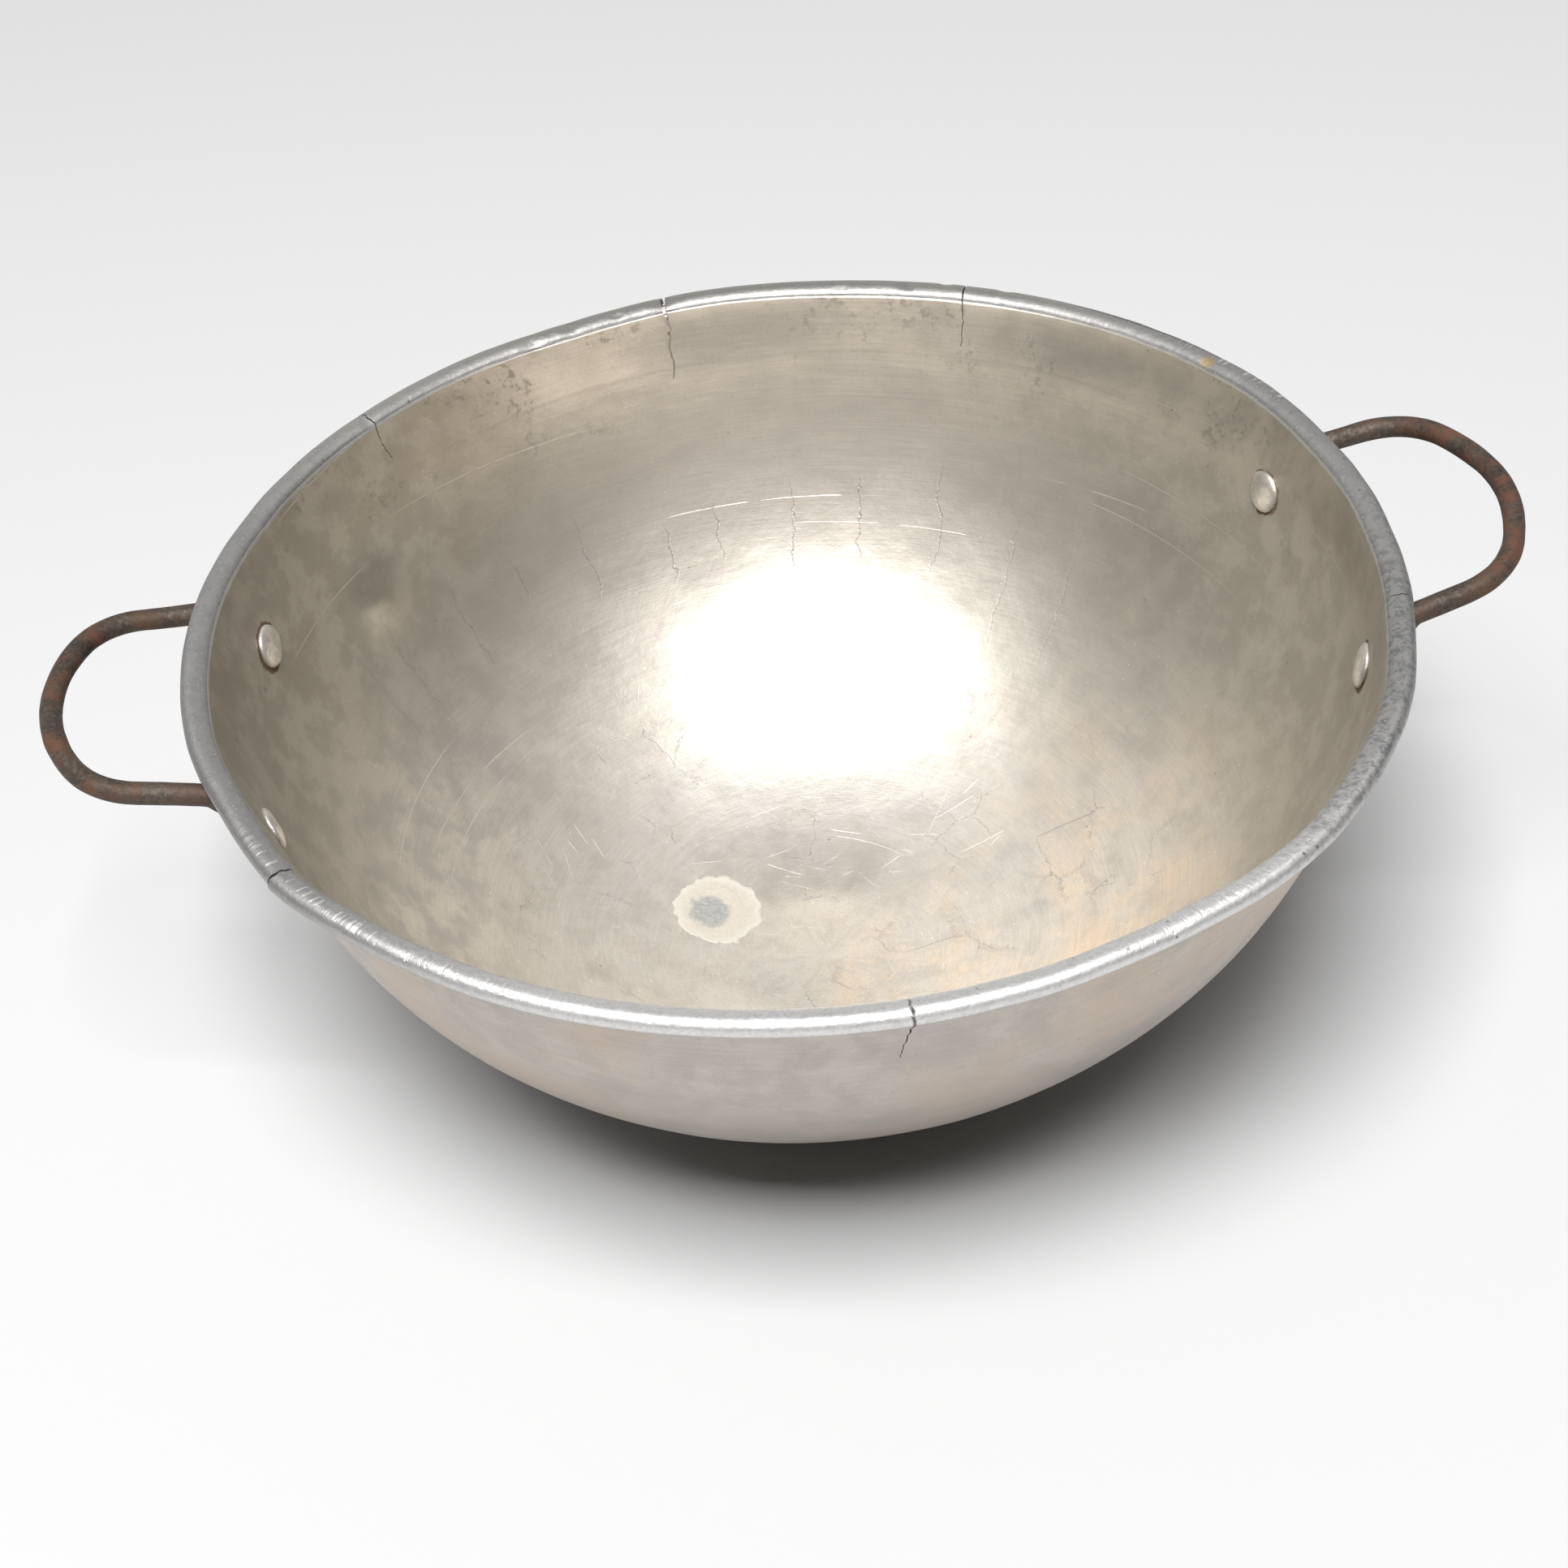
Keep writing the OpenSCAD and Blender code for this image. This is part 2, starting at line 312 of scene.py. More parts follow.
CUT_BELOW = 1.0


def crack_cutter(azimuth, side_torn, stations, seed):
    """A thin jagged wall through the bead and most of the wall, as points and faces."""
    back, side, half = (np.array(c, float) for c in zip(*stations))
    rows = np.arange(back[0], back[-1], CRACK_STEP)
    jag = CRACK_JAG * wobble(np.stack([rows, 0 * rows, 0 * rows], 1), JAG_SIZE, seed)
    centre = np.interp(rows, back, side) + jag * 2
    gap = np.interp(rows, back, half) * (1 + jag)
    r = section(rows)[0]
    in_wall = rows > BEAD_RUN
    top = np.where(in_wall & (side_torn < 0), -LEFT_THICK, CUT_ABOVE)
    low = np.where(in_wall & (side_torn > 0), LEFT_THICK - SHEET, -SHEET - CUT_BELOW)
    corners = []
    for across, lift in ((-1, top), (1, top), (1, low), (-1, low)):
        turn = azimuth + np.degrees((centre + across * gap) / r)
        corners.append(bowl_points(turn, rows, lift))
    points = np.stack(corners, 1).reshape(-1, 3)
    faces = [(3, 2, 1, 0)]
    for i in range(len(rows) - 1):
        for j in range(4):
            a, b = 4 * i + j, 4 * i + (j + 1) % 4
            faces.append((b, b + 4, a + 4, a))
    end = 4 * (len(rows) - 1)
    faces.append((end, end + 1, end + 2, end + 3))
    return points, faces


HOLE_SIDES = 32
HOLE_R = SHANK_R + 0.05
HOLE_ENDS = (-5, 4)


def cylinder_cutter(turn):
    """Points and faces of a rivet hole's cutter."""
    sides = HOLE_SIDES
    place = rivet_matrix(turn)
    points = []
    for out in HOLE_ENDS:
        for i in range(sides):
            a = 2 * math.pi * i / sides
            points.append(place @ Vector((HOLE_R * math.cos(a), HOLE_R * math.sin(a), out)))
    faces = [(i, (i + 1) % sides, sides + (i + 1) % sides, sides + i) for i in range(sides)]
    faces += [tuple(range(sides))[::-1], tuple(range(sides, 2 * sides))]
    return [tuple(p) for p in points], faces


def cut(piece, cutters):
    """Cuts every cutter out of a piece, and keeps the result as its mesh."""
    points, faces = [], []
    for p, f in cutters:
        faces += [tuple(i + len(points) for i in face) for face in f]
        points += [tuple(q) for q in p]
    mesh = bpy.data.meshes.new("cutter")
    mesh.from_pydata([tuple(p) for p in np.array(points) * MM], [], faces)
    cutter = bpy.data.objects.new("cutter", mesh)
    bpy.context.scene.collection.objects.link(cutter)
    modifier = piece.modifiers.new("cut", "BOOLEAN")
    modifier.operation = "DIFFERENCE"
    modifier.solver = "MANIFOLD"
    modifier.object = cutter
    graph = bpy.context.evaluated_depsgraph_get()
    made = bpy.data.meshes.new_from_object(piece.evaluated_get(graph), depsgraph=graph)
    piece.modifiers.clear()
    piece.data = made
    bpy.data.objects.remove(cutter)
    made.set_sharp_from_angle(angle=math.radians(40))


# ---------------------------------------------------------------- handles and rivets

def outer_r(z):
    """Radius of the wall's outer face at a height, without the flare."""
    return WALL_R * math.cos(math.asin((CROWN_Z - z) / WALL_DEPTH))


RIVET_Z = RIM_Z - RIVET_DROP
RIVET_LEAN = math.atan2((CROWN_Z - RIVET_Z) / WALL_DEPTH**2, outer_r(RIVET_Z) / WALL_R**2)


def rivet_matrix(turn):
    """Frame at a rivet, in millimetres: x round the wall, y up the wall, z outwards."""
    a = math.radians(turn)
    out = Vector((math.cos(a) * math.cos(RIVET_LEAN), math.sin(a) * math.cos(RIVET_LEAN),
                  -math.sin(RIVET_LEAN)))
    round_wall = Vector((-math.sin(a), math.cos(a), 0))
    up = out.cross(round_wall)
    r = outer_r(RIVET_Z)
    place = Vector((r * math.cos(a), r * math.sin(a), RIVET_Z))
    return Matrix((
        (round_wall.x, up.x, out.x, place.x),
        (round_wall.y, up.y, out.y, place.y),
        (round_wall.z, up.z, out.z, place.z),
        (0, 0, 0, 1),
    ))


def rounded_path(corners, radii, step):
    """Points along straight lines through corners, with a bend of each radius."""
    points = [corners[0]]
    for before, corner, after, radius in zip(corners, corners[1:], corners[2:], radii):
        u = (before - corner).normalized()
        v = (after - corner).normalized()
        half = u.angle(v) / 2
        trim = radius / math.tan(half)
        middle = corner + (u + v).normalized() * (radius / math.sin(half))
        start = corner + u * trim - middle
        end = corner + v * trim - middle
        sweep = start.angle(end)
        count = max(3, math.ceil(radius * sweep / step))
        for i in range(count + 1):
            t = i / count
            points.append(middle + start * (math.sin((1 - t) * sweep) / math.sin(sweep))
                          + end * (math.sin(t * sweep) / math.sin(sweep)))
    points.append(corners[-1])
    line = np.array(points)
    run = np.concatenate([[0], np.cumsum(np.linalg.norm(np.diff(line, axis=0), axis=1))])
    places = np.linspace(0, run[-1], int(run[-1] / step) + 1)
    return np.stack([np.interp(places, run, line[:, i]) for i in range(3)], 1), places


def handle_path(turn, reach, half_w, tilt, splay, corner_r, end_r, rivet_a):
    """Centre line of a handle, from the foot of one flattened end to the foot of the other."""
    end_a = math.asin((half_w - corner_r) / (end_r - corner_r))
    corner = Vector((reach - end_r + (end_r - corner_r) * math.cos(end_a),
                     (end_r - corner_r) * math.sin(end_a)))
    corner_half = (math.pi / 2 - math.radians(splay) - end_a) / 2
    away = corner_r / math.cos(corner_half)
    corner_mid = corner + away * Vector((math.cos(end_a + corner_half),
                                         math.sin(end_a + corner_half)))
    apex = Vector((reach - end_r + end_r / math.cos(end_a), 0))
    lean = math.radians(tilt)
    elbow_d = outer_r(RIM_TOP - TURN_R) + FLARE_W + ROD_R + ROD_GAP
    slope = math.tan(math.radians(splay)) / math.cos(lean)
    offset = corner_mid.y + corner_mid.x * math.tan(math.radians(splay)) + RIM_R * slope
    k = 1 + slope**2
    m = slope * offset
    elbow_x = (m + math.sqrt(m * m - k * (offset**2 - elbow_d**2))) / k
    elbow = Vector(((elbow_x - RIM_R) / math.cos(lean), offset - slope * elbow_x))
    spin = Matrix.Rotation(math.radians(turn), 4, "Z")

    def loop(p, side):
        return spin @ Vector((RIM_R + p.x * math.cos(lean), side * p.y,
                              RIM_Z - ROD_DROP + p.x * math.sin(lean)))

    def palm(side):
        place = rivet_matrix(turn + side * rivet_a)
        out = PALM_LIFT + PALM_T / 2
        return [place @ Vector((0, y, o)) for y, o in ((-PALM_W / 2, out), (4, out), (10, 3.4))]

    corners = palm(-1) + [loop(elbow, -1), loop(corner_mid, -1), loop(apex, 1),
                          loop(corner_mid, 1), loop(elbow, 1)] + palm(1)[::-1]
    radii = [9, 3, ELBOW_R, corner_r, end_r, corner_r, ELBOW_R, 3, 9]
    return corners, radii


ROD_SIDES = 24
ROD_STEP = 1.5
# Distances from a rod's end where its palm ends and where it is round, and where it may drift
PALM_RUN = 13.0
NECK_RUN = 24.0
FREE_RUN = (30.0, 54.0)
# Unevenness of the rod's thickness, as shares, and how far its line drifts
ROD_UNEVEN = [(0.035, 12), (0.02, 4)]
ROD_DRIFT = 0.9
DRIFT_SIZE = 38
# How square a palm's edge is, and the least half width of its rounded end as a share
PALM_SQUARE = 0.45
PALM_TIP = 0.12


def handle_mesh(spec):
    """A bent rod with a flattened round palm at each end, as points and faces."""
    spec = dict(spec)
    seed = spec.pop("seed")
    corners, radii = handle_path(**spec)
    line, run = rounded_path(corners, radii, ROD_STEP)
    length = run[-1]
    tangent = np.gradient(line, axis=0)
    tangent /= np.linalg.norm(tangent, axis=1)[:, None]
    first, last = (rivet_matrix(spec["turn"] + s * spec["rivet_a"]) for s in (-1, 1))
    wide = [np.array(first.col[0][:3])]
    for t in tangent[1:]:
        w = wide[-1] - t * (wide[-1] @ t)
        wide.append(w / np.linalg.norm(w))
    wide = np.array(wide)
    thin = np.cross(tangent, wide)
    goal = np.array(last.col[0][:3])
    twist = math.atan2(goal @ thin[-1], goal @ wide[-1])
    if abs(twist) > math.pi / 2:
        twist -= math.copysign(math.pi, twist)
    part = smooth(run, NECK_RUN, length - NECK_RUN)[:, None] * twist
    wide, thin = wide * np.cos(part) + thin * np.sin(part), thin * np.cos(part) - wide * np.sin(part)
    from_end = np.minimum(run, length - run)
    rod = smooth(from_end, PALM_RUN, NECK_RUN)
    free = smooth(from_end, *FREE_RUN)
    uneven = 1 + sum(share * wobble(line, size, seed + k) for k, (share, size) in enumerate(ROD_UNEVEN))
    half_wide = PALM_W / 2 * (1 - rod) + ROD_R * rod * uneven
    half_thin = PALM_T / 2 * (1 - rod) + ROD_R * rod * uneven
    round_end = np.sqrt(np.clip(1 - (1 - from_end / (PALM_W / 2)) ** 2, 0.0, 1))
    half_wide = np.where(from_end < PALM_W / 2, half_wide * np.maximum(round_end, PALM_TIP), half_wide)
    drift = np.stack([wobble(line, DRIFT_SIZE, seed + k) for k in (2, 3, 4)], 1)
    line = line + ROD_DRIFT * drift * free[:, None]
    points = []
    for i in range(len(run)):
        square = 1 - PALM_SQUARE * (1 - rod[i])
        for j in range(ROD_SIDES):
            a = 2 * math.pi * j / ROD_SIDES
            c, s = math.cos(a), math.sin(a)
            x = math.copysign(abs(c) ** square, c) * half_wide[i]
            y = math.copysign(abs(s) ** square, s) * half_thin[i]
            points.append(line[i] + wide[i] * x + thin[i] * y)
    faces = [tuple(range(ROD_SIDES))]
    for i in range(len(run) - 1):
        for j in range(ROD_SIDES):
            a, b = i * ROD_SIDES + j, i * ROD_SIDES + (j + 1) % ROD_SIDES
            faces.append((a, a + ROD_SIDES, b + ROD_SIDES, b))
    end = (len(run) - 1) * ROD_SIDES
    faces.append(tuple(range(end, end + ROD_SIDES))[::-1])
    return points, faces


RIVETS = {
    "rivet_right_front": dict(turn=RIGHT - 16.5, tip=(-1.0, 1.5), seed=1),
    "rivet_right_rear": dict(turn=RIGHT + 16.5, tip=(1.0, -1.5), seed=2),
    "rivet_left_front": dict(turn=LEFT + 15.5, tip=(1.0, 0.5), seed=3),
    "rivet_left_rear": dict(turn=LEFT - 15.5, tip=(-1.0, 1.0), seed=4),
}
RIVET_SIDES = 56
HEAD_ROWS = 14
TAIL_ROWS = 8
HEAD_EDGE = 0.35
HEAD_GAP = 0.15
HEAD_DENT = 0.28
HEAD_UNEVEN = 0.035


def rivet_outline():
    """Half section of a rivet: radius and distance outwards, from the head's crown to the tail's."""
    base = -SHEET - HEAD_GAP
    dome = HEAD_H - HEAD_EDGE
    head = []
    for i in range(HEAD_ROWS + 1):
        a = math.pi / 2 * i / HEAD_ROWS
        head.append((HEAD_R * math.sin(a) ** 0.93, base - HEAD_EDGE - dome * math.cos(a) ** 0.9))
    tail_z = PALM_LIFT + PALM_T + 0.02
    tail = []
    for i in range(TAIL_ROWS + 1):
        a = math.pi / 2 * i / TAIL_ROWS
        tail.append((TAIL_R * math.cos(a), tail_z + TAIL_H * math.sin(a)))
    return head + [(HEAD_R - 0.15, base), (SHANK_R, base + 0.02), (SHANK_R, tail_z - 0.02),
                   (TAIL_R - 0.2, tail_z - 0.01)] + tail


def rivet_mesh(turn, tip, seed):
    """A hand-closed rivet: the head is a little uneven and leans by tip degrees."""
    place = rivet_matrix(turn)
    lean = Matrix.Rotation(math.radians(tip[0]), 4, "Y") @ Matrix.Rotation(math.radians(tip[1]), 4, "X")
    outline = rivet_outline()
    points = []
    for r, out in outline[1:-1]:
        for j in range(RIVET_SIDES):
            a = 2 * math.pi * j / RIVET_SIDES
            p = Vector((r * math.cos(a), r * math.sin(a), out))
            if out < -SHEET:
                dent = noise.noise(p / 4.5 + Vector((seed * 7.7, 0, 0)))
                edge = noise.noise(Vector((math.cos(a), math.sin(a), seed * 3.1)) * 1.7)
                wide = 1 + HEAD_UNEVEN * edge
                p = Vector((p.x * wide, p.y * wide, p.z + HEAD_DENT * dent))
                p = lean @ p
            points.append(place @ p)
    rings = len(outline) - 2
    head_tip = len(points)
    points.append(place @ (lean @ Vector((0, 0, outline[0][1]))))
    points.append(place @ Vector((0, 0, outline[-1][1])))
    faces = []
    for i in range(rings - 1):
        for j in range(RIVET_SIDES):
            a, b = i * RIVET_SIDES + j, i * RIVET_SIDES + (j + 1) % RIVET_SIDES
            faces.append((a, b, b + RIVET_SIDES, a + RIVET_SIDES))
    last = (rings - 1) * RIVET_SIDES
    for j in range(RIVET_SIDES):
        k = (j + 1) % RIVET_SIDES
        faces.append((head_tip, k, j))
        faces.append((last + j, last + k, head_tip + 1))
    return [tuple(p) for p in points], faces


# ---------------------------------------------------------------- materials

class Graph:
    """Short calls that build one material's nodes. Places are in millimetres."""

    def __init__(self, name):
        self.material = bpy.data.materials.new(name)
        self.material.use_nodes = True
        self.tree = self.material.node_tree
        self.tree.nodes.clear()
        output = self.tree.nodes.new("ShaderNodeOutputMaterial")
        self.bsdf = self.tree.nodes.new("ShaderNodeBsdfPrincipled")
        self.tree.links.new(self.bsdf.outputs[0], output.inputs[0])
        coords = self.tree.nodes.new("ShaderNodeTexCoord").outputs["Object"]
        self.point = self.vector("SCALE", coords, scale=1 / MM)

    def put(self, socket, value):
        """Links a socket to another, or sets its value."""
        if hasattr(value, "links"):
            self.tree.links.new(value, socket)
        elif isinstance(value, (tuple, list)) and len(value) == 3 and len(socket.default_value) == 4:
            socket.default_value = (*value, 1)
        else:
            socket.default_value = value

    def math(self, operation, a, b=0.0):
        node = self.tree.nodes.new("ShaderNodeMath")
        node.operation = operation
        self.put(node.inputs[0], a)
        self.put(node.inputs[1], b)
        return node.outputs[0]

    def vector(self, operation, a, b=(0.0, 0.0, 0.0), scale=1.0):
        node = self.tree.nodes.new("ShaderNodeVectorMath")
        node.operation = operation
        self.put(node.inputs[0], a)
        if operation == "SCALE":
            self.put(node.inputs["Scale"], scale)
        else:
            self.put(node.inputs[1], b)
        name = "Value" if operation in ("DISTANCE", "DOT_PRODUCT") else "Vector"
        return node.outputs[name]

    def shifted(self, x, y, z):
        """The point moved, so that a noise there differs from the same noise elsewhere."""
        return self.vector("ADD", self.point, (x, y, z))

    def join(self, x, y, z):
        node = self.tree.nodes.new("ShaderNodeCombineXYZ")
        for socket, value in zip(node.inputs, (x, y, z)):
            self.put(socket, value)
        return node.outputs[0]

    def split(self, v):
        node = self.tree.nodes.new("ShaderNodeSeparateXYZ")
        self.put(node.inputs[0], v)
        return node.outputs

    def noise(self, v, size, detail, rough=0.5):
        node = self.tree.nodes.new("ShaderNodeTexNoise")
        self.put(node.inputs["Vector"], v)
        self.put(node.inputs["Scale"], 1 / size)
        self.put(node.inputs["Detail"], detail)
        self.put(node.inputs["Roughness"], rough)
        return node.outputs["Fac"]

    def cells(self, v, size, feature="DISTANCE_TO_EDGE"):
        """Distance to the nearest edge between random cells, or to the nearest cell's middle."""
        node = self.tree.nodes.new("ShaderNodeTexVoronoi")
        node.feature = feature
        self.put(node.inputs["Vector"], v)
        self.put(node.inputs["Scale"], 1 / size)
        return node.outputs["Distance"]

    def span(self, x, low, high, to_low=0.0, to_high=1.0):
        """Smooth step: to_low below low, to_high above high."""
        node = self.tree.nodes.new("ShaderNodeMapRange")
        node.interpolation_type = "SMOOTHSTEP"
        flip = low > high
        values = (high, low, to_high, to_low) if flip else (low, high, to_low, to_high)
        self.put(node.inputs[0], x)
        for socket, value in zip(node.inputs[1:5], values):
            self.put(socket, value)
        return node.outputs[0]

    def times(self, *values):
        total = values[0]
        for v in values[1:]:
            total = self.math("MULTIPLY", total, v)
        return total

    def plus(self, *values):
        total = values[0]
        for v in values[1:]:
            total = self.math("ADD", total, v)
        return total

    def most(self, *values):
        total = values[0]
        for v in values[1:]:
            total = self.math("MAXIMUM", total, v)
        return total

    def rest(self, share):
        """What is left of 1 beside a share."""
        return self.math("SUBTRACT", 1.0, share)

    def blend(self, share, a, b):
        """Colour a where share is 0, and colour b where it is 1."""
        node = self.tree.nodes.new("ShaderNodeMix")
        node.data_type = "RGBA"
        self.put(node.inputs[0], share)
        self.put(node.inputs[6], a)
        self.put(node.inputs[7], b)
        return node.outputs[2]

    def spot(self, azimuth, r, z, radius, soft, ragged=0.0, size=5.0):
        """1 within a ragged round spot about a place."""
        place = tuple(float(c) for c in polar(azimuth, np.array(float(r)), z))
        far = self.vector("DISTANCE", self.point, place)
        if ragged:
            uneven = self.math("SUBTRACT", self.noise(self.point, size, 3), 0.5)
            far = self.plus(far, self.times(uneven, ragged))
        return self.span(far, radius + soft, radius - soft)

    def bump(self, height, distance, strength=1.0, under=None):
        node = self.tree.nodes.new("ShaderNodeBump")
        self.put(node.inputs["Height"], height)
        self.put(node.inputs["Distance"], distance * MM)
        self.put(node.inputs["Strength"], strength)
        if under is not None:
            self.put(node.inputs["Normal"], under)
        return node.outputs[0]

    def finish(self, colour, metal, rough, normal=None):
        self.put(self.bsdf.inputs["Base Color"], colour)
        self.put(self.bsdf.inputs["Metallic"], metal)
        self.put(self.bsdf.inputs["Roughness"], rough)
        if normal is not None:
            self.put(self.bsdf.inputs["Normal"], normal)
        return self.material


# Colours of the worn aluminium, and of the painted shade and reflections on it, as linear red, green
# and blue
WARM_GREY, WARM_LIGHT = (0.63, 0.585, 0.515), (0.71, 0.66, 0.585)
COOL_GREY, COOL_LIGHT = (0.62, 0.60, 0.565), (0.75, 0.715, 0.665)
OLIVE, SMOKE = (0.44, 0.405, 0.345), (0.45, 0.42, 0.385)
SLATE, SIDE_WALL_SHADE = (0.38, 0.375, 0.385), (0.29, 0.27, 0.225)
RUSTY, PEACH_REFLECTION = (0.50, 0.40, 0.31), (0.84, 0.69, 0.53)
PALE, SAND = (0.82, 0.76, 0.68), (0.62, 0.59, 0.52)
OUTER_DARK, OUTER_LIGHT = (0.52, 0.475, 0.43), (0.63, 0.575, 0.52)
LILAC, TAN = (0.56, 0.51, 0.51), (0.64, 0.53, 0.43)
DRAB, UNDERSIDE_SHADE = (0.46, 0.43, 0.41), (0.17, 0.145, 0.12)
BEAD_GREY, BEAD_LIGHT = (0.72, 0.71, 0.70), (0.86, 0.845, 0.83)
SATIN, REAR_BEAD_SHADE = (0.33, 0.325, 0.315), (0.40, 0.385, 0.365)
SCUFF_BLUE, FLECK = (0.14, 0.15, 0.165), (0.88, 0.88, 0.88)

# Radius that turns an angle on the bowl into millimetres along it
ARC_R = 150.0
# Heights between which the bead's own metal starts, measured down from its top, and outside
BEAD_LOW, BEAD_HIGH = 3.2, 2.0
BEAD_OUTSIDE = (140.2, 141.4)
# Azimuth, radius and height of the stain in the bottom, and of its middle
STAIN = (138.8, 40.6, 3.8)
STAIN_CORE = (142.0, 42.6, 4.0)
# Radius of the grime round a rivet's head
GRIME = {"rivet_left_rear": 8.0, "rivet_right_rear": 7.2, "rivet_right_front": 7.9}
# Chipped stretches of the bead: azimuth, half width in degrees, strength
CHIPPED = [(-136, 24, 1.0), (-60, 16, 0.7), (26, 12, 0.8), (-8, 20, 0.4)]


class BowlGraph(Graph):
    """A graph that knows places on the bowl, and the noises that its marks share."""

    def __init__(self, name):
        super().__init__(name)
        self.x, self.y, self.z = self.split(self.point)
        squares = self.plus(self.times(self.x, self.x), self.times(self.y, self.y))
        self.r = self.most(self.math("SQRT", squares), 0.5)
        self.ux = self.math("DIVIDE", self.x, self.r)
        self.uy = self.math("DIVIDE", self.y, self.r)
        below_crown = self.math("SUBTRACT", CROWN_Z, self.z)
        self.down = self.times(self.math("ARCTAN2", below_crown, self.r), ARC_R)
        self.turn = self.times(self.math("ARCTAN2", self.y, self.x), ARC_R)

        geometry = self.tree.nodes.new("ShaderNodeNewGeometry")
        inward = self.vector("SUBTRACT", (0.0, 0.0, CROWN_Z), self.point)
        inward = self.vector("NORMALIZE", inward)
        facing = self.vector("DOT_PRODUCT", geometry.outputs["True Normal"], inward)
        self.inside = self.span(facing, -0.1, 0.1)
        self.outside = self.rest(self.inside)
        self.rim = self.most(self.span(self.z, RIM_TOP - BEAD_LOW, RIM_TOP - BEAD_HIGH),
                             self.times(self.outside, self.span(self.z, *BEAD_OUTSIDE)))
        self.wall = self.times(self.inside, self.rest(self.rim))

        self.cloud = self.noise(self.point, 60, 3, 0.55)
        self.mottle = self.noise(self.point, 13, 4, 0.62)
        self.fine = self.noise(self.point, 0.9, 3, 0.7)
        self.sweep = self.noise(self.around(5, 11), 1, 3, 0.6)
        self.brush = self.noise(self.around(7, 0.45), 1, 2, 0.6)
        self.lilac = self.noise(self.shifted(80.0, 20.0, 40.0), 24, 3, 0.5)
        self.scuff = self.noise(self.point, 2.6, 5, 0.8)

    def around(self, turns, across):
        """Coordinates for marks that run round the bowl."""
        return self.join(self.times(self.ux, turns), self.times(self.uy, turns),
                         self.math("DIVIDE", self.down, across))

    def towards(self, azimuth, width):
        """1 at an azimuth, 0 beyond a width in degrees."""
        a = math.radians(azimuth)
        along = self.plus(self.times(self.ux, math.cos(a)), self.times(self.uy, math.sin(a)))
        return self.span(along, math.cos(math.radians(width)), 1.0)

    def marks(self, across, along, pitch, reach, length, width, seed, slope=0.12):
        """1 along scattered thin lines: one to a band of a pitch, at a random place along it."""
        place = self.math("DIVIDE", across, pitch)
        band = self.math("FLOOR", place)
        node = self.tree.nodes.new("ShaderNodeTexWhiteNoise")
        node.noise_dimensions = "1D"
        self.put(node.inputs["W"], self.math("ADD", band, seed))
        one, two, three = self.split(node.outputs["Color"])
        lean = self.times(self.math("SUBTRACT", three, 0.5), slope)
        middle = self.times(self.math("SUBTRACT", two, 0.5), 2 * reach)
        far = self.math("SUBTRACT", along, middle)
        inset = self.plus(self.times(one, 0.5), 0.25)
        off = self.math("SUBTRACT", self.math("SUBTRACT", place, band), inset)
        off = self.math("ABSOLUTE", self.plus(self.times(off, pitch), self.times(far, lean)))
        limit = self.times(self.plus(three, 0.3), length)
        share = self.math("DIVIDE", self.math("ABSOLUTE", far), limit)
        return self.times(self.span(off, width, width * 0.3), self.span(share, 1.0, 0.5))


def inner_colour(g):
    """Warm patina inside, greyer in the bottom, with painted shade in brown up the left and right sides
    and painted peach reflections low at the front right.
    """
    tone = g.blend(g.span(g.cloud, 0.36, 0.64), WARM_GREY, WARM_LIGHT)
    grey = g.blend(g.span(g.mottle, 0.36, 0.64), COOL_GREY, COOL_LIGHT)
    tone = g.blend(g.times(g.span(g.down, 118, 165), 0.7), tone, grey)
    tone = g.blend(g.times(g.span(g.mottle, 0.42, 0.68), 0.42), tone, OLIVE)
    tone = g.blend(g.times(g.span(g.sweep, 0.45, 0.7), 0.35), tone, SMOKE)
    rusty = g.times(g.towards(135, 45), g.span(g.down, 100, 20), g.span(g.cloud, 0.42, 0.62))
    tone = g.blend(g.times(rusty, 0.6), tone, RUSTY)
    # Painted reflections: soft peach patches low on the front right wall
    reflection_patches = g.noise(g.shifted(11.0, 52.0, 6.0), 26, 6, 0.68)
    peach_reflection = g.times(g.towards(-35, 85), g.span(g.down, 70, 125), g.span(reflection_patches, 0.42, 0.66))
    tone = g.blend(g.times(peach_reflection, 0.7), tone, PEACH_REFLECTION)
    tone = g.blend(g.times(g.towards(88, 42), g.span(g.down, 95, 40), 0.45), tone, PALE)
    slate = g.times(g.towards(172, 50), g.span(g.down, 55, 85), g.span(g.down, 135, 110),
                    g.span(g.mottle, 0.40, 0.6))
    tone = g.blend(g.times(slate, 0.32), tone, SLATE)
    # Painted shade: the left and right walls darken to brown, broken by paler patches
    sides = g.most(g.times(g.towards(172, 82), g.span(g.down, 112, 40)),
                   g.times(g.towards(-4, 68), g.span(g.down, 135, 55), 0.88))
    tone = g.blend(g.times(sides, 0.84), tone, SIDE_WALL_SHADE)
    return g.blend(g.times(g.span(g.mottle, 0.56, 0.40), sides, 0.25), tone, SAND)


def outer_colour(g):
    """Mottled satin outside, with painted shade that darkens it towards the underside."""
    tone = g.blend(g.span(g.mottle, 0.36, 0.64), OUTER_DARK, OUTER_LIGHT)
    tone = g.blend(g.times(g.span(g.lilac, 0.5, 0.66), 0.5), tone, LILAC)
    tone = g.blend(g.times(g.span(g.cloud, 0.48, 0.62), 0.7), tone, TAN)
    tone = g.blend(g.times(g.span(g.sweep, 0.55, 0.72), 0.35), tone, DRAB)
    # Painted shade: the outside grows darker down towards the floor
    return g.blend(g.span(g.z, 122, 22, 0.0, 0.97), tone, UNDERSIDE_SHADE)


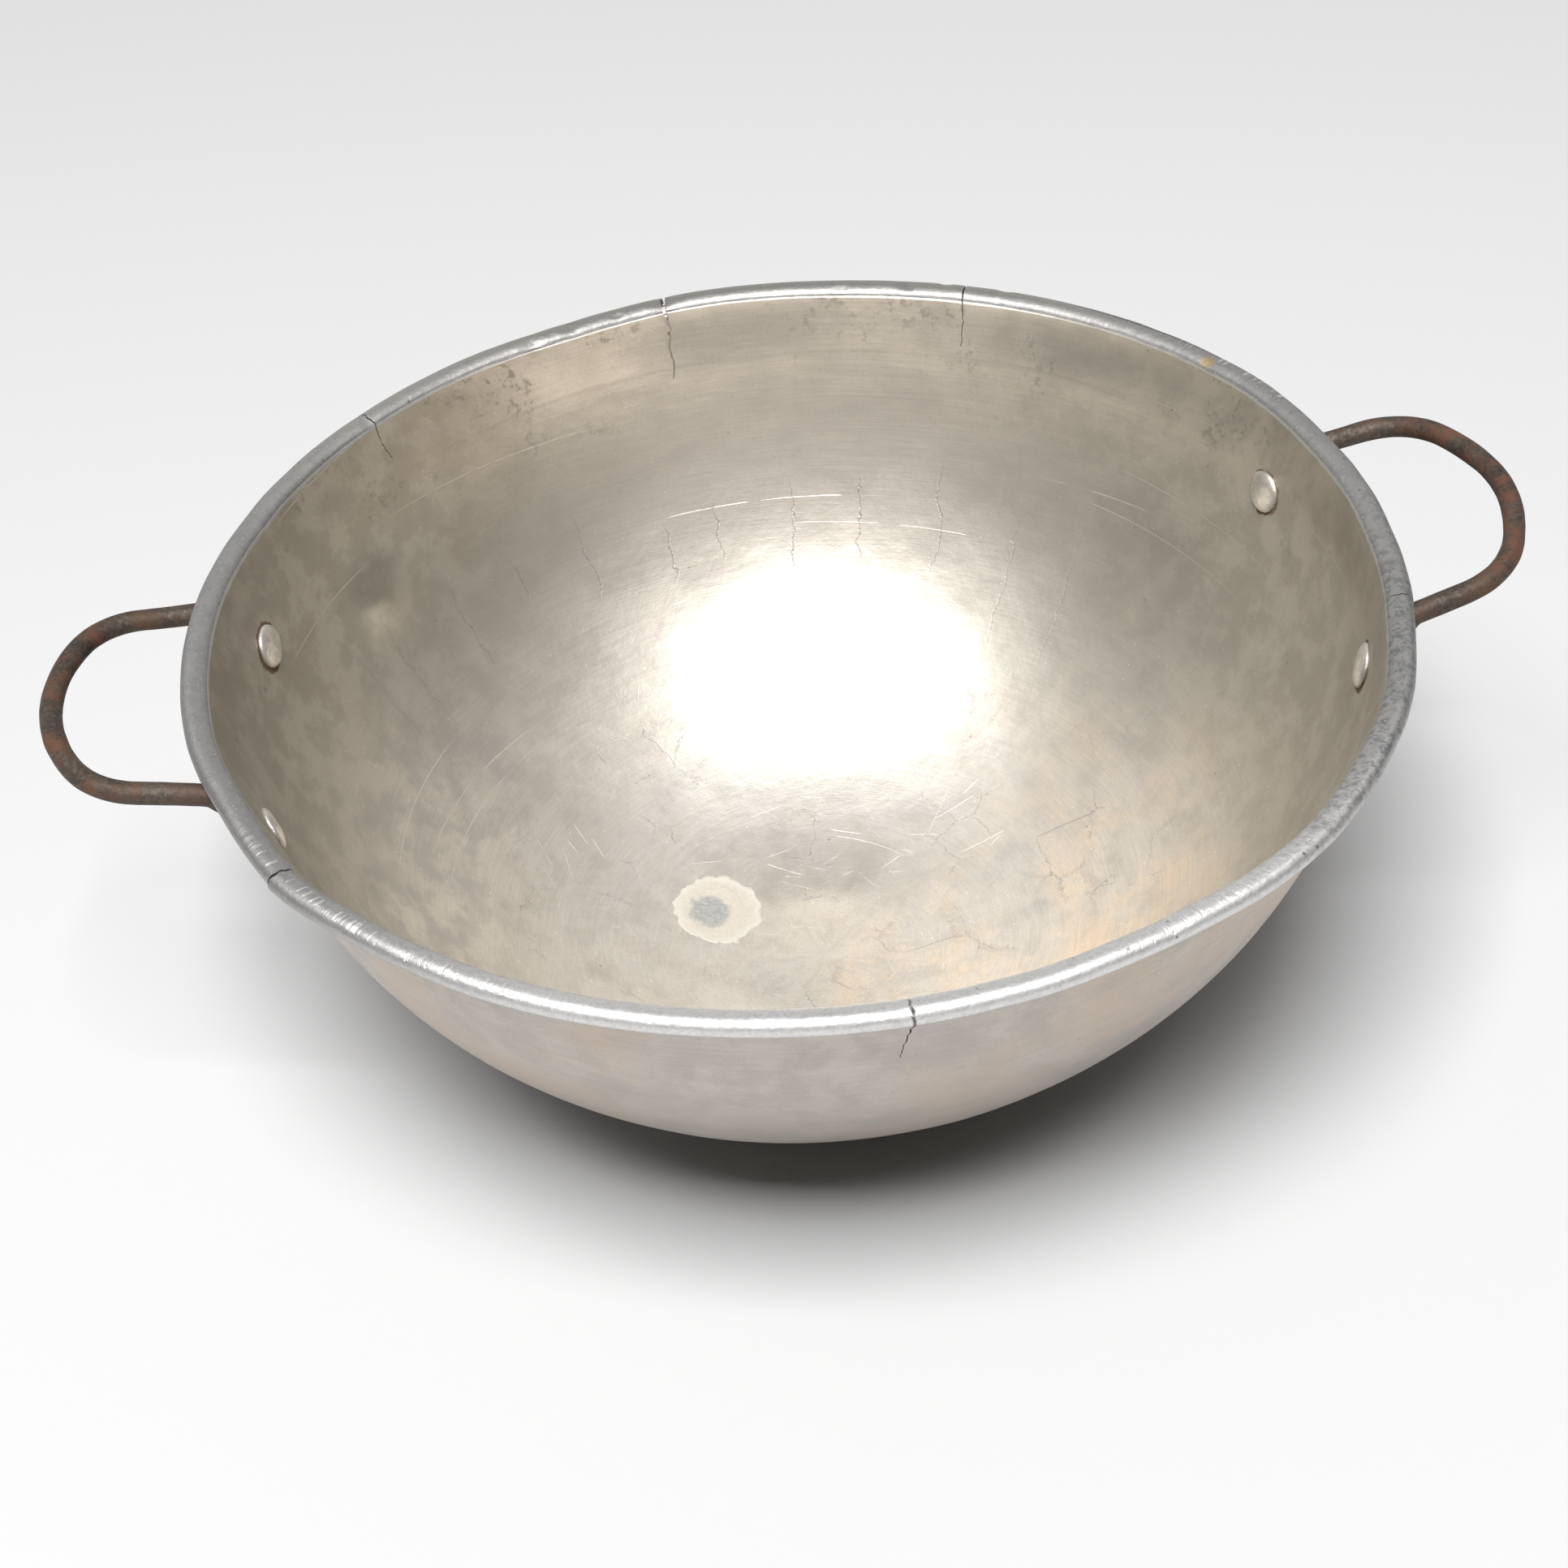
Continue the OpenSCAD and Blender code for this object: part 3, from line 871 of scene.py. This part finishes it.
def bead_colour(g):
    """Bare worn metal on the bead: duller at the sides, with painted shade over the back, scuffed at
    the right.
    """
    tone = g.blend(g.span(g.fine, 0.3, 0.7), BEAD_GREY, BEAD_LIGHT)
    satin = g.span(g.math("ABSOLUTE", g.ux), 0.45, 0.95)
    tone = g.blend(g.times(satin, 0.85), tone, SATIN)
    # Painted shade over the back of the bead, which dims its highlight there
    tone = g.blend(g.times(g.towards(90, 80), 0.85), tone, REAR_BEAD_SHADE)
    scuffed = g.plus(0.10, g.times(satin, 0.10), g.times(g.towards(-28, 34), 0.45))
    tone = g.blend(g.times(g.span(g.scuff, 0.44, 0.62), scuffed), tone, SCUFF_BLUE)
    flecks = g.span(g.cells(g.point, 1.7, "F1"), 0.17, 0.08)
    return g.blend(g.times(flecks, g.span(g.scuff, 0.46, 0.54), 0.7), tone, FLECK)


def scratches(g):
    """Bright scratches that run round the bowl, and short ones across its bottom."""
    arcs = g.most(g.marks(g.down, g.turn, 6.5, 470, 45, 0.16, 11),
                  g.marks(g.down, g.turn, 9, 470, 60, 0.2, 57))
    arcs = g.times(arcs, g.plus(0.3, g.times(g.towards(110, 95), 0.6)))
    short = []
    for i, angle in enumerate((15, 62, 110, 155)):
        a = math.radians(angle)
        across = g.plus(g.times(g.x, -math.sin(a)), g.times(g.y, math.cos(a)))
        along = g.plus(g.times(g.x, math.cos(a)), g.times(g.y, math.sin(a)))
        short.append(g.marks(across, along, 2.6, 75, 9, 0.14, 91 + 13 * i, 0.5))
    short = g.times(g.most(*short), g.span(g.down, 100, 135), 0.5)
    return g.times(g.most(arcs, short), g.span(g.mottle, 0.36, 0.52), g.wall)


def crackle_lines(g):
    """Dark crackle in the bottom."""
    bend = g.vector("SCALE", g.join(g.mottle, g.cloud, g.fine), scale=11.0)
    lines = g.span(g.cells(g.vector("ADD", g.point, bend), 17), 0.020, 0.004)
    return g.times(lines, g.span(g.lilac, 0.50, 0.60), g.span(g.down, 100, 140), g.wall)


def hair_cracks(g):
    """Fine dark cracks that run up the rear wall."""
    jagged = g.plus(g.turn, g.times(g.mottle, 9.0), g.times(g.fine, 1.2))
    hair = g.marks(jagged, g.math("SUBTRACT", g.down, 75), 26, 14, 24, 0.35, 23, 0.1)
    return g.times(hair, g.towards(95, 75), g.wall)


def smudges(g):
    """Dark smudges high on the wall."""
    place = g.times(g.span(g.lilac, 0.54, 0.62), g.span(g.down, 48, 25), g.wall)
    return g.times(place, g.span(g.noise(g.point, 3.0, 4, 0.75), 0.50, 0.64))


def stain(g):
    """The pale ragged ring of a stain, its brighter edge, and its blue-grey middle."""
    ring = g.spot(*STAIN, 14.2, 0.4, 6.0, 5.0)
    edge = g.times(ring, g.rest(g.spot(*STAIN, 12.3, 1.6, 6.0, 5.0)))
    core = g.spot(*STAIN_CORE, 6.6, 1.2, 5.0, 3.0)
    return ring, edge, core


def rivet_grime(g):
    """Brown grime round the rivet heads."""
    spots = []
    for name, radius in GRIME.items():
        centre = rivet_matrix(RIVETS[name]["turn"]) @ Vector((0, -0.5, -SHEET))
        azimuth = math.degrees(math.atan2(centre.y, centre.x))
        r = math.hypot(centre.x, centre.y)
        spots.append(g.spot(azimuth, r, centre.z, radius, 0.3, 2.4, 2.2))
    return g.times(g.most(*spots), g.wall)


def bead_chips(g):
    """Short bright chips across the top of the bead."""
    chips = g.span(g.noise(g.around(170, 3.0), 1, 2), 0.52, 0.62)
    stretches = [g.times(g.towards(azimuth, width), share) for azimuth, width, share in CHIPPED]
    return g.times(chips, g.rim, g.span(g.r, 173.2, 174.4), g.span(g.r, 177.3, 176.5),
                   g.most(*stretches))


def bowl_metal():
    """Worn spun aluminium: patina, brushing, scratches and crackle inside, a mottled satin outside,
    with painted shade, reflections and glints.
    """
    g = BowlGraph("worn_spun_aluminium")
    bright = scratches(g)
    crackle = crackle_lines(g)
    hair = hair_cracks(g)
    smudge = smudges(g)
    ring, edge, core = stain(g)
    grime = rivet_grime(g)
    chips = bead_chips(g)

    colour = g.blend(g.inside, outer_colour(g), inner_colour(g))
    colour = g.blend(g.rim, colour, bead_colour(g))
    dull = g.rest(g.times(g.rim, 0.8))
    colour = g.blend(g.times(g.span(g.brush, 0.3, 0.7), 0.20, dull), colour, (0.36, 0.33, 0.295))
    colour = g.blend(g.times(g.span(g.fine, 0.5, 0.75), 0.25, dull), colour, (0.34, 0.31, 0.28))
    colour = g.blend(g.times(hair, 0.55), colour, (0.22, 0.20, 0.22))
    colour = g.blend(g.times(crackle, 0.5), colour, (0.24, 0.22, 0.23))
    colour = g.blend(g.times(smudge, 0.35), colour, (0.22, 0.20, 0.17))
    colour = g.blend(g.times(bright, 0.6), colour, (0.90, 0.87, 0.82))
    specks = g.span(g.cells(g.point, 10, "F1"), 0.055, 0.02)
    specks = g.times(specks, g.span(g.mottle, 0.48, 0.55))
    colour = g.blend(g.times(specks, 0.6), colour, (0.16, 0.14, 0.13))
    # Painted glints: small bright highlights scattered over the inside
    glints = g.span(g.cells(g.shifted(3.0, 5.0, 7.0), 5.0, "F1"), 0.07, 0.02)
    glints = g.times(glints, g.span(g.down, 20, 120, 0.35, 1.0), g.wall)
    colour = g.blend(g.times(glints, 0.8), colour, (0.95, 0.93, 0.90))

    crumb = g.span(g.noise(g.point, 1.1, 4, 0.75), 0.3, 0.7, 0.5, 1.0)
    colour = g.blend(g.times(ring, g.wall, crumb), colour, (0.49, 0.45, 0.385))
    colour = g.blend(g.times(edge, g.wall, crumb, 0.8), colour, (0.60, 0.57, 0.51))
    colour = g.blend(g.times(core, g.wall, crumb), colour, (0.27, 0.285, 0.285))
    colour = g.blend(g.times(grime, 0.95), colour, (0.13, 0.075, 0.04))

    # Marks on the bead: a yellow spot, a dark worn stretch, chips, painted shade under the curl and
    # pocks
    yellow = g.spot(31.0, 172, 147, 2.6, 1.0, 3.0)
    colour = g.blend(g.times(yellow, 0.7), colour, (0.55, 0.40, 0.18))
    wear = g.times(g.towards(39, 12), g.rim, g.span(g.r, 174.8, 176.3), g.span(g.fine, 0.3, 0.6))
    colour = g.blend(g.times(wear, 0.85), colour, (0.10, 0.09, 0.085))
    colour = g.blend(g.times(chips, 0.7), colour, (0.95, 0.94, 0.92))
    # Painted shade: a dark line under the curl, where it meets the wall outside
    under = g.times(g.rim, g.span(g.z, RIM_Z - 0.6, RIM_Z - 2.2))
    colour = g.blend(g.times(under, 0.6), colour, (0.20, 0.18, 0.165))
    pocks = g.span(g.cells(g.point, 6, "F1"), 0.10, 0.05)
    pocks = g.times(g.rim, pocks, g.span(g.mottle, 0.46, 0.54))
    colour = g.blend(g.times(pocks, 0.7), colour, (0.16, 0.15, 0.15))

    rough = g.plus(0.36, g.times(g.fine, 0.12), g.times(g.mottle, 0.10))
    rough = g.plus(rough, g.times(g.outside, 0.05), g.times(g.rim, 0.05))
    rough = g.plus(rough, g.times(ring, g.wall, 0.35), g.times(grime, 0.3), g.times(smudge, 0.15))
    dirt = g.times(g.most(ring, grime), g.wall, 0.6)
    metal = g.math("SUBTRACT", g.span(g.rim, 0.0, 1.0, 0.78, 0.95), dirt)

    height = g.plus(g.times(g.brush, 0.5), g.times(g.sweep, 0.9), g.times(g.fine, 0.3))
    normal = g.bump(height, 0.09, 0.45)
    normal = g.bump(g.mottle, 1.0, 0.22, normal)
    pits = g.plus(g.times(bright, -1.0), g.times(crackle, -0.4), g.times(hair, -0.8))
    normal = g.bump(pits, 0.08, 0.7, normal)
    # The flare's slope is partly taken out of the shading
    turn_z = RIM_TOP - TURN_R
    flare = g.span(g.math("MINIMUM", g.z, turn_z), turn_z - FLARE_H, turn_z + FLARE_PAST)
    flare = g.times(flare, FLARE_W, g.rest(g.rim), g.span(g.inside, 0.0, 1.0, -0.7, 0.9))
    normal = g.bump(flare, 1.0, 1.0, normal)
    dings = g.plus(g.noise(g.point, 6.0, 4, 0.6), g.times(chips, -0.6), g.times(g.scuff, 0.4))
    normal = g.bump(g.times(dings, g.rim), 0.5, 0.6, normal)
    normal = g.bump(g.times(ring, g.wall), 0.15, 1.0, normal)
    g.put(g.bsdf.inputs["Anisotropic"], 0.25)
    tangent = g.tree.nodes.new("ShaderNodeTangent")
    tangent.direction_type = "RADIAL"
    tangent.axis = "Z"
    g.put(g.bsdf.inputs["Tangent"], tangent.outputs[0])
    return g.finish(colour, metal, rough, normal)


def handle_steel():
    """Old brown steel rod with rust on the bends."""
    g = Graph("browned_steel")
    cloud = g.noise(g.point, 22, 4, 0.6)
    patch = g.noise(g.shifted(31.0, 7.0, 11.0), 9, 4, 0.65)
    grain = g.noise(g.point, 1.3, 4, 0.7)
    outward = g.span(g.math("ABSOLUTE", g.split(g.point)[0]), 178, 208)
    colour = g.blend(g.span(cloud, 0.35, 0.65), (0.050, 0.038, 0.030), (0.092, 0.069, 0.052))
    rust = g.times(g.span(patch, 0.42, 0.62), g.plus(0.35, g.times(outward, 0.65)))
    colour = g.blend(g.times(rust, 0.85), colour, (0.130, 0.052, 0.027))
    colour = g.blend(g.times(g.span(grain, 0.5, 0.72), 0.6), colour, (0.045, 0.036, 0.032))
    worn = g.times(g.span(grain, 0.52, 0.36), g.span(patch, 0.58, 0.42))
    colour = g.blend(g.times(worn, 0.35), colour, (0.20, 0.165, 0.13))
    rough = g.plus(0.50, g.times(grain, 0.22), g.times(rust, 0.10))
    metal = g.math("SUBTRACT", 0.55, g.times(rust, 0.4))
    normal = g.bump(grain, 0.28, 0.8)
    normal = g.bump(patch, 0.8, 0.5, normal)
    return g.finish(colour, metal, rough, normal)


def rivet_metal():
    """Hand-closed aluminium with dull edges."""
    g = Graph("rivet_aluminium")
    cloud = g.noise(g.point, 6, 4, 0.6)
    grain = g.noise(g.point, 0.9, 3, 0.6)
    colour = g.blend(g.span(cloud, 0.35, 0.65), (0.52, 0.50, 0.47), (0.74, 0.69, 0.62))
    colour = g.blend(g.times(g.span(grain, 0.55, 0.75), 0.4), colour, (0.30, 0.28, 0.26))
    rough = g.plus(0.43, g.times(grain, 0.16))
    normal = g.bump(g.plus(grain, g.times(cloud, 1.5)), 0.25, 0.5)
    return g.finish(colour, 0.85, rough, normal)


def floor_paper():
    """Matt pale paper."""
    g = Graph("pale_paper")
    return g.finish((0.62, 0.62, 0.622), 0.0, 0.9)


# ---------------------------------------------------------------- the object

def build_object():
    """The visible pieces, each in place of its CAD node."""
    metal = bowl_metal()
    points, faces = bowl_mesh()
    bowl = new_piece("bowl_skin", points, faces, metal)
    cutters = [crack_cutter(*crack, seed) for seed, crack in enumerate(CRACKS, 20)]
    cutters += [cylinder_cutter(spec["turn"]) for spec in RIVETS.values()]
    cut(bowl, cutters)
    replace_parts(bowl, "bowl")
    steel = handle_steel()
    for name, spec in HANDLES.items():
        points, faces = handle_mesh(spec)
        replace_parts(new_piece(name + "_rod", points, faces, steel, 50), name)
    rivet = rivet_metal()
    for name, spec in RIVETS.items():
        points, faces = rivet_mesh(**spec)
        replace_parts(new_piece(name + "_closed", points, faces, rivet, 35), name)


# ---------------------------------------------------------------- camera, floor and light

CAMERA_DISTANCE = 0.807
CAMERA_AZIMUTH = -97.1
CAMERA_ELEVATION = 35.98
CAMERA_ROLL = -4.44
CAMERA_PAN = 0.27
CAMERA_TILT = -3.84
CAMERA_LENS = 64.0


def add_camera():
    """The camera stands off the middle of the rim, and then turns a little on its own axes."""
    a, e = math.radians(CAMERA_AZIMUTH), math.radians(CAMERA_ELEVATION)
    back = Vector((math.cos(a) * math.cos(e), math.sin(a) * math.cos(e), math.sin(e)))
    right = Vector((-math.sin(a), math.cos(a), 0))
    up = back.cross(right)
    basis = Matrix((right, up, back)).transposed().to_4x4()
    turn = (Matrix.Rotation(math.radians(CAMERA_ROLL), 4, "Z")
            @ Matrix.Rotation(math.radians(CAMERA_PAN), 4, "Y")
            @ Matrix.Rotation(math.radians(CAMERA_TILT), 4, "X"))
    camera = bpy.data.objects.new("camera", bpy.data.cameras.new("camera"))
    bpy.context.scene.collection.objects.link(camera)
    place = Vector((0, 0, RIM_Z * MM)) + back * CAMERA_DISTANCE
    camera.matrix_world = Matrix.Translation(place) @ basis @ turn
    camera.data.lens = CAMERA_LENS
    camera.data.sensor_width = 36
    camera.data.clip_start = 0.01
    bpy.context.scene.camera = camera


FLOOR_HALF = 6.0


def add_floor():
    """A large flat sheet under the bowl."""
    h = FLOOR_HALF
    mesh = bpy.data.meshes.new("floor")
    mesh.from_pydata([(-h, -h, 0), (h, -h, 0), (h, h, 0), (-h, h, 0)], [], [(0, 1, 2, 3)])
    mesh.materials.append(floor_paper())
    floor = bpy.data.objects.new("floor", mesh)
    bpy.context.scene.collection.objects.link(floor)


def add_softbox(name, aim, direction, distance, width, depth, power):
    """A rectangular lamp that looks at aim from a direction."""
    lamp = bpy.data.lights.new(name, "AREA")
    lamp.shape = "RECTANGLE"
    lamp.size = width
    lamp.size_y = depth
    lamp.energy = power
    piece = bpy.data.objects.new(name, lamp)
    bpy.context.scene.collection.objects.link(piece)
    direction = Vector(direction).normalized()
    piece.matrix_world = (Matrix.Translation(Vector(aim) + direction * distance)
                          @ direction.to_track_quat("Z", "Y").to_matrix().to_4x4())


SOFTBOX_AIM = (0, 0, 0.02)
SOFTBOX_FROM = (-0.125, -0.395, 0.910)
SOFTBOX_DISTANCE = 4.0
SOFTBOX_SIZE = (2.0, 1.45)
SOFTBOX_POWER = 248.0
HORIZON_GLOW = 0.04
CEILING_GLOW = 0.08
BACKDROP_GLOW = 0.66
WORLD_TINT = (1.0, 0.995, 0.985, 1)


def add_light():
    """One softbox overhead, a faint ceiling, and a pale backdrop behind the object."""
    add_softbox("overhead", SOFTBOX_AIM, SOFTBOX_FROM, SOFTBOX_DISTANCE, *SOFTBOX_SIZE, SOFTBOX_POWER)
    world = bpy.data.worlds.new("studio")
    world.use_nodes = True
    tree = world.node_tree
    coords = tree.nodes.new("ShaderNodeTexCoord")
    axes = tree.nodes.new("ShaderNodeSeparateXYZ")
    tree.links.new(coords.outputs["Generated"], axes.inputs[0])

    def span(value, *limits):
        node = tree.nodes.new("ShaderNodeMapRange")
        node.interpolation_type = "SMOOTHSTEP"
        tree.links.new(value, node.inputs[0])
        for socket, limit in zip(node.inputs[1:5], limits):
            socket.default_value = limit
        return node.outputs[0]

    def join(operation, a, b):
        node = tree.nodes.new("ShaderNodeMath")
        node.operation = operation
        tree.links.new(a, node.inputs[0])
        tree.links.new(b, node.inputs[1])
        return node.outputs[0]

    ceiling = span(axes.outputs[2], 0.15, 0.85, HORIZON_GLOW, CEILING_GLOW)
    behind = span(axes.outputs[1], 0.1, 0.7, 0.0, BACKDROP_GLOW)
    backdrop = join("MULTIPLY", behind, span(axes.outputs[2], 0.5, 0.92, 1.0, 0.0))
    tree.links.new(join("ADD", ceiling, backdrop), tree.nodes["Background"].inputs[1])
    tree.nodes["Background"].inputs[0].default_value = WORLD_TINT
    bpy.context.scene.world = world
    bpy.context.scene.view_settings.view_transform = "Standard"


build_object()
add_floor()
add_light()
add_camera()
